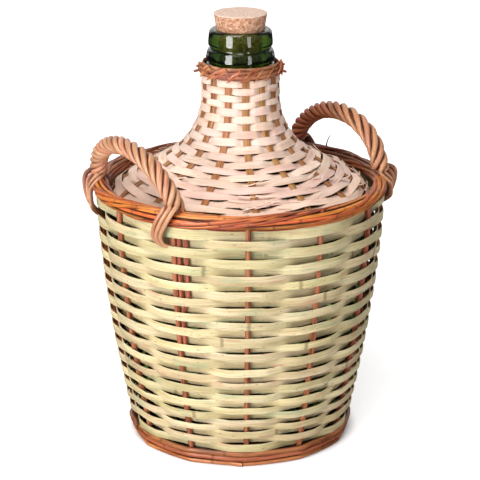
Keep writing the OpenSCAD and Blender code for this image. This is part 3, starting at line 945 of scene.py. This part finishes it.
def makeBase(rodMaterial, stickMaterial):
    piece = newPiece()
    for i in range(base["sticks"]):
        out = outwardAt(i * 180 / base["sticks"])
        path = [out * base["reach"] * (n / 12 - 1) + upward * base["z"] for n in range(25)]
        addStrand(piece, rodStations(path, [base["stickRadius"]] * 25, upward), i / 6, 1, 8)
    finishPiece(piece, "baseSticks", stickMaterial, ["base_sticks"])
    piece = newPiece()
    rows = int((base["reach"] - 3 - base["inner"]) / base["pitch"])
    for row in range(rows):
        radius = base["inner"] + row * base["pitch"]
        path = []
        for step in range(145):
            angle = 360 / 12 * row + 363 * step / 144
            swing = base["swing"] * weave(angle, 2 * base["sticks"], 1 if row % 2 else -1)
            path.append(outwardAt(angle) * radius + upward * (base["z"] + swing))
        addStrand(piece, rodStations(path, [base["rodRadius"]] * 145, upward), random.Random(row).random(), 1, 6)
    finishPiece(piece, "baseWeave", rodMaterial, ["base_weaver"])


# A handle: strands roped round a bow rod. At its ends the outer strands pass over the rim border.
handle = {
    "spread": 32.4,
    "archZ": 213.0,
    "rise": 43.0,
    "lean": 10.0,
    "bowRadius": 1.9,
    "archRadius": 2.8,
    "strands": 5,
    "strandRadius": 2.45,
    "tailRadius": 2.0,
    "layRadius": 4.9,
    "from": 12.0,
    "legLow": 144.0,
    "tuckTurn": 3.0,
    "tuckLow": 104.0,
    "tuckHigh": 215.6,
    # ends outside the rim: radius, height, angle towards the handle's middle, and spacing
    "outerTail": ((119.9, 222.0, 1.5, 1.95), (123.6, 216.5, 2.8, 2.0), (123.6, 207.5, 5.2, 1.95),
                  (121.4, 198.5, 7.0, 1.6), (117.4, 191.5, 6.6, 1.1), (113.5, 188.0, 4.6, 0.9)),
    # at the other end they lie one outside the other, from the outermost: closer in and lower
    "fanIn": ((0, 2.5, 5.0, 7.0), (-1.6, 1.0, 2.4, 3.0), (-1.8, 0.8, 2.0, 2.2), (-1.0, 0.4, 1.0, 0.6),
              (0, 0, 0, 0), (0, 0, 0, 0)),
    "fanDown": ((0, 1.0, 2.4, 3.6), (-1.0, 2.0, 5.0, 7.5), (-1.5, 1.5, 4.0, 5.5), (-0.5, 0.5, 1.5, 2.0),
                (0, 0, 0, 0), (0, 0, 0, 0)),
    # the right handle's front end leans the other way and is tucked in higher up
    "slant": -0.2,
    "short": 8.0,
    # ends inside the rim: radius and height
    "innerTail": ((111.0, 219.0), (106.6, 212.0), (106.9, 204.0), (108.2, 197.0)),
}


# A point of the arch's centre line, at angle u. bend moves the arch's top outwards.
def archPoint(u, bend):
    turn = math.radians(u)
    spread = math.radians(handle["spread"])
    lean = math.radians(handle["lean"])
    rise = handle["rise"] * math.sin(turn)
    return Vector((wall["rimRadius"] * math.cos(spread) + rise * math.sin(lean) + bend * math.sin(turn),
                   wall["rimRadius"] * math.sin(spread) * math.cos(turn),
                   handle["archZ"] + rise * math.cos(lean)))


# The way out from the arch's centre line at angle u, turned by q degrees round it
def archSide(u, q, bend):
    way = (archPoint(u + 0.5, bend) - archPoint(u - 0.5, bend)).normalized()
    lean = math.radians(handle["lean"])
    face = Vector((math.cos(lean), 0, -math.sin(lean)))
    return face * math.cos(math.radians(q)) + way.cross(face) * math.sin(math.radians(q))


def legPath():
    heights = [handle["legLow"] + (203 - handle["legLow"]) * n / 12 for n in range(13)]
    spread = math.radians(handle["spread"])
    return [Vector((wallRadius(z) * math.cos(spread), wallRadius(z) * math.sin(spread), z)) for z in heights]


# Where an end goes: place counts the strands at the foot from its middle
def tailPath(end, place, outermost):
    if place == 2 or (end > 0 and place == -2):
        angle = end * (handle["spread"] - 0.5 + 0.8 * place)
        return [outwardAt(angle) * radius + upward * z for radius, z in handle["innerTail"]]
    points = []
    for i, (radius, z, inward, spacing) in enumerate(handle["outerTail"]):
        if end < 0 and outermost < 0:
            inward *= handle["slant"]
            z += handle["short"] * i / 5
        angle = end * (handle["spread"] - inward + place * spacing)
        if end < 0:
            radius -= handle["fanIn"][i][abs(place - outermost)]
            z -= handle["fanDown"][i][abs(place - outermost)]
        points.append(outwardAt(angle) * radius + upward * z)
    return points


# One strand: roped over the arch and down at both ends
def ropeStations(j, twist, rng):
    count = 96
    phase = 360 * j / handle["strands"]
    bend = twist["bend"]
    seed = rng.uniform(0, 90)
    rope, sides, radii = [], [], []
    for i in range(count + 1):
        t = i / count
        u = handle["from"] + (180 - 2 * handle["from"]) * t
        loose = noise.noise(Vector((seed, u * 0.07, 0)))
        full = 2 * math.pi
        wound = math.sin(full * (t - twist["tight"])) + math.sin(full * twist["tight"])
        q = phase + 360 * twist["turns"] * (t + twist["tightness"] / full * wound) + 9 * loose
        side = archSide(u, q, bend)
        rope.append(archPoint(u, bend) + side * (handle["layRadius"] + 0.3 * loose))
        sides.append(side)
        radii.append(handle["strandRadius"] * (1 + 0.1 * noise.noise(Vector((u * 0.11, seed, 5)))))
    for end, at, corner in ((1, 0, 6), (-1, -1, -7)):
        turned = (phase + (360 * twist["turns"] if end < 0 else 0)) / 360 % 1 * handle["strands"]
        place = turned if turned < handle["strands"] / 2 else turned - handle["strands"]
        place = round(place) if end > 0 else math.floor(place + 1e-6)
        tail = smoothPath([rope[corner], rope[at]] + tailPath(end, place, twist["outermost"]), 50)[8:]
        narrow = [handle["tailRadius"]] * len(tail)
        tailSides = [sides[at].lerp(Vector((p.x, p.y, 0)).normalized(), min(1, n / 14)) for n, p in enumerate(tail)]
        if end > 0:
            rope, radii, sides = tail[::-1] + rope, narrow + radii, tailSides[::-1] + sides
        else:
            rope, radii, sides = rope + tail, radii + narrow, sides + tailSides
    return rodStations(rope, radii, sides)


def makeHandle(name, turn, twist, rodMaterial, bowMaterial):
    spin = Matrix.Rotation(math.radians(turn), 3, "Z")
    bend = twist["bend"]
    legs = legPath()
    arch = [archPoint(180 * n / 40, bend) for n in range(41)]
    path = legs + arch + [leg * Vector((1, -1, 1)) for leg in reversed(legs)]
    piece = newPiece()
    radii = [handle["bowRadius"]] * len(legs) + [handle["archRadius"]] * len(arch) + [handle["bowRadius"]] * len(legs)
    addStrand(piece, rodStations(path, radii, archSide(90, 0, bend)), 0.3, 1, 8)
    bmesh.ops.rotate(piece, matrix=spin, verts=piece.verts)
    finishPiece(piece, name + "HandleBow", bowMaterial, ["handle_bow_" + name])
    piece = newPiece()
    rng = random.Random(len(name))
    for j in range(handle["strands"]):
        addStrand(piece, ropeStations(j, twist, rng), rng.random(), 1, 10)
    bmesh.ops.rotate(piece, matrix=spin, verts=piece.verts)
    finishPiece(piece, name + "HandleRope", rodMaterial, ["handle_rope_" + name])
    piece = newPiece()
    for side in (-1, 1):
        path = []
        for i in range(33):
            z = handle["tuckLow"] + (handle["tuckHigh"] - handle["tuckLow"]) * i / 32
            # below the bow's end it lies against the stake
            away = max(0, min(1, (z - handle["legLow"] + 12) / 16))
            angle = side * (handle["spread"] + 0.2 + (handle["tuckTurn"] - 0.2) * away * away * (3 - 2 * away))
            path.append(outwardAt(angle) * wallRadius(z) + upward * z)
        across = outwardAt(side * handle["spread"]).cross(upward)
        addStrand(piece, rodStations(path, [handle["bowRadius"]] * 33, across), rng.random(), 1, 8)
    bmesh.ops.rotate(piece, matrix=spin, verts=piece.verts)
    finishPiece(piece, name + "HandleTails", bowMaterial, ["handle_tails_" + name])


# The collar: laced strips that close in on the bottle, with the ribs' ends folded down over them
collar = {
    # height and radius of each lace
    "laces": ((303.6, 32.2), (306.6, 31.4), (309.4, 29.9)),
    "laceHeight": 3.5,
    "laceThick": 1.2,
    "flaps": 18,
    "flapTurn": 20.0,
    "flapWidth": 6.4,
    "flapThick": 0.7,
    "flapTop": 308.4,
    # angle, height, length and radius of the stubs of twig that stick out
    "twigs": ((146, 303.5, 5.4, 1.1), (-36, 303.5, 4.8, 1.1), (152, 308.0, 3.4, 1.0), (-27, 308.0, 3.6, 1.0)),
}


def makeCollar(material):
    piece = newPiece()
    rng = random.Random(31)
    for lace, (z, ring) in enumerate(collar["laces"]):
        stations = []
        for step in range(121):
            angle = 361 * step / 120 + lace * 100
            out = outwardAt(angle)
            radius = ring + 0.5 * wander(lace * 3, angle, 6)
            stations.append((out * radius + upward * (z + 0.7 * wander(lace * 5, angle, 5)),
                             out * collar["laceThick"] / 2, upward * collar["laceHeight"] / 2))
        # the laces get a dark tint: painted shade under the flaps
        addStrand(piece, stations, 0.15 * rng.random(), 0.6, 8)
    for flap in range(collar["flaps"]):
        start = 360 * flap / collar["flaps"] + rng.uniform(-9, 9)
        reach = collar["flapTurn"] * rng.uniform(0.55, 1.35)
        topZ = collar["flapTop"] + rng.uniform(-1.2, 0.6)
        tipZ = 302.4 + rng.uniform(-3.0, 1.8)
        lift = rng.uniform(0.3, 1.6)
        widest = collar["flapWidth"] / 2 * rng.uniform(0.65, 1.3)
        path = []
        for step in range(17):
            t = step / 16
            radius = 31.2 + 1.7 * math.sin(math.pi / 2 * min(1, 1.6 * t)) + lift * t ** 3
            path.append(outwardAt(start - reach * t) * radius + upward * (topZ - (topZ - tipZ) * t ** 1.2))
        stations = []
        for i, point in enumerate(path):
            way = (path[min(i + 1, 16)] - path[max(i - 1, 0)]).normalized()
            out = Vector((point.x, point.y, 0)).normalized()
            curl = 0.5 * out + way.cross(out).normalized()
            width = widest * min(1, 1.8 * (1 - i / 16) + 0.04)
            stations.append((point, out * collar["flapThick"] / 2, curl.normalized() * width))
        addStrand(piece, stations, 0.35 + 0.6 * rng.random(), 0.4, 8)
    for angle, z, length, radius in collar["twigs"]:
        out = outwardAt(angle)
        path = [out * (31.9 + length * n / 4) + upward * (z - 0.25 * length * n / 4) for n in range(5)]
        addStrand(piece, rodStations(path, [radius] * 4 + [0.8 * radius], upward), 0.02, 1, 6)
    finishPiece(piece, "neckCollar", material, ["neck_collar"])


# Outline of the glass, from the middle of its base up the outside and down the inside
glass = {
    "footZ": 13.0,
    "heel": 12.0,
    "wall": 3.2,
    "neckWall": 4.6,
    "punt": 14.0,
    "basketGap": 5.3,
    "ribGap": 2.1,
    "collarRadius": 27.3,
    "lipRadius": 25.6,
    "grooveRadius": 24.3,
    "bore": 19.5,
    "segments": 128,
}


# Points of an arc round a centre, in degrees
def arc(centre, radius, start, end, steps):
    turns = [math.radians(start + (end - start) * i / steps) for i in range(steps + 1)]
    return [(centre[0] + radius * math.cos(a), centre[1] + radius * math.sin(a)) for a in turns]


def glassOutline():
    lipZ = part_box("glass_bottle")[1].z / metresPerMm
    side = lambda z: wallRadius(z) - glass["basketGap"]
    heelX = side(glass["footZ"] + glass["heel"]) - glass["heel"]
    domeRadius = (heelX ** 2 + glass["punt"] ** 2) / (2 * glass["punt"])
    dome = []
    for i in range(13):
        x = heelX * i / 13
        dome.append((x, glass["footZ"] + glass["punt"] - domeRadius + math.sqrt(domeRadius ** 2 - x * x)))
    heel = arc((heelX, glass["footZ"] + glass["heel"]), glass["heel"], -90, 0, 8)
    body = [(side(z), z) for z in range(35, 186, 10)]
    total = sum(lineStretches())

    def inside(s, gap):
        radius, z, turn = lineAt(s)
        return (radius - gap * math.cos(turn), z - gap * math.sin(turn))

    over = [inside(total - 6 - (total - 6) * i / 40, glass["ribGap"]) for i in range(41)]
    neck = ribLine["neckRadius"] - glass["ribGap"]
    ringR = glass["collarRadius"]
    ring = [(neck, 309.5), (ringR - 2.0, 311)] + arc((ringR - 1.8, 313.3), 1.8, -60, 10, 6)
    ring += [(ringR - 0.1, 315.5), (ringR - 0.5, 317.5), (ringR - 1.0, 319.2)]
    ring += arc((ringR - 2.6, 319.6), 1.6, 10, 80, 5)
    lipR = glass["lipRadius"]
    groove = [(glass["grooveRadius"] + 0.05, 321.9), (glass["grooveRadius"], 322.8)]
    lip = arc((lipR - 1.3, 325.0), 1.3, -80, 0, 5) + [(lipR + 0.05, 327.5), (lipR - 0.3, 331)]
    lip += arc((lipR - 3.4, lipZ - 2.8), 2.8, 5, 90, 8)
    mouth = [(glass["bore"] + 1.6, lipZ)] + arc((glass["bore"] + 1.2, lipZ - 1.2), 1.2, 90, 180, 4)
    bore = [(glass["bore"] - 0.13 * (332 - z), z) for z in (332, 326, 320, 314)]
    inner = [inside(12 + (total - 18) * i / 30,
                    glass["ribGap"] + glass["neckWall"] + (glass["wall"] - glass["neckWall"]) * i / 30)
             for i in range(31)]
    innerBody = [(side(z) - glass["wall"], z) for z in range(175, 34, -10)]
    floorIn = arc((heelX, glass["footZ"] + glass["heel"]), glass["heel"] - glass["wall"], 0, -90, 8)
    domeIn = [(x, z + glass["wall"] + 0.6) for x, z in reversed(dome[:-1])]
    return dome + heel + body + over + ring + groove + lip + mouth + bore + inner + innerBody + floorIn + domeIn


# Turns an outline of [radius, height] points round the axis into a closed skin
def latheSkin(outline, segments):
    bm = bmesh.new()
    verts = [bm.verts.new((r, 0, z)) for r, z in outline]
    edges = [bm.edges.new(pair) for pair in zip(verts, verts[1:])]
    bmesh.ops.spin(bm, geom=verts + edges, cent=(0, 0, 0), axis=(0, 0, 1), angle=math.radians(360),
                   steps=segments, use_merge=True)
    bmesh.ops.remove_doubles(bm, verts=bm.verts, dist=0.001)
    bmesh.ops.recalc_face_normals(bm, faces=bm.faces)
    return bm


def makeGlass(material):
    bm = latheSkin(glassOutline(), glass["segments"])
    finishPiece(bm, "glassBottle", material, ["glass_bottle"], sharp=80)


cork = {
    "topRadius": 21.3,
    "length": 38.0,
    "slope": 0.1615,
    "chamfer": 0.9,
    "pit": 0.16,
    "segments": 120,
}


def makeCork(material):
    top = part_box("cork_stopper")[1].z / metresPerMm
    outline = [(cork["topRadius"] * 0.98 * i / 14, top) for i in range(14)]
    edgeR = cork["topRadius"] - cork["chamfer"]
    outline += arc((edgeR, top - cork["chamfer"]), cork["chamfer"], 90, 0, 4)
    for i in range(1, 31):
        drop = cork["chamfer"] + (cork["length"] - cork["chamfer"] - 0.5) * i / 30
        outline.append((cork["topRadius"] - cork["slope"] * drop, top - drop))
    low = cork["topRadius"] - cork["slope"] * cork["length"]
    outline += [(low * i / 6, top - cork["length"]) for i in range(5, -1, -1)]
    bm = latheSkin(outline, cork["segments"])
    for vert in bm.verts:
        rough = noise.noise(vert.co * 0.55) * 0.6 + noise.noise(vert.co * 1.4) * 0.5
        inward = Vector((vert.co.x, vert.co.y, 0)).normalized() if vert.co.z < top - 0.3 else upward
        vert.co -= inward * cork["pit"] * max(0, rough + 0.25)
    finishPiece(bm, "corkStopper", material, ["cork_stopper"], corkBody)


makeCamera(cameraView)
makeStudio()
print("studio ready")
rimWillow = buffWillow("orangeWillowBark", ["873812", "b85920", "de7930", "cb6b2d", "da8d4a"])
footWillow = buffWillow("brownWillowBark", ["793316", "a84f28", "cb7346", "ba633b", "d38c5e"])
stakes = stakeBark()
splint = splintWood()
makeGlass(bottleGlass())
makeCork(pressedCork())
makeWall(caneSkin())
makeStakes(stakes)
makeShoulder(chipWood(), splint)
makeCollar(collarSkein())
makeRim(rimWillow)
makeFoot(footWillow)
makeBase(footWillow, stakes)
# Painted light and shade on the handles: the left handle's rods darker towards the back of the basket; the right
# handle's darker colours are partly painted shade on the side away from the lamps and partly the rods' own, and they
# turn paler towards the front as painted light
leftWillow = handleWillow("tanHandleWillow", ["a5603f", "cf8d66", "e3a883", "cb8662"],
                          ("8e4a30", outwardAt(90), 0.045, 0.075, 0.5))
rightWillow = handleWillow("redHandleWillow", ["702d18", "94472a", "b46a46", "9a5233"],
                           ("dba077", outwardAt(90), 0.03, -0.03, 0.66))
makeHandle("left", 180, {"turns": 3.4, "tight": 0.75, "tightness": 0.15, "bend": 3.0, "outermost": 1}, leftWillow, stakes)
makeHandle("right", 0, {"turns": 2.9, "tight": 0.25, "tightness": 0.38, "bend": -3.0, "outermost": -2}, rightWillow, stakes)
print("object ready")
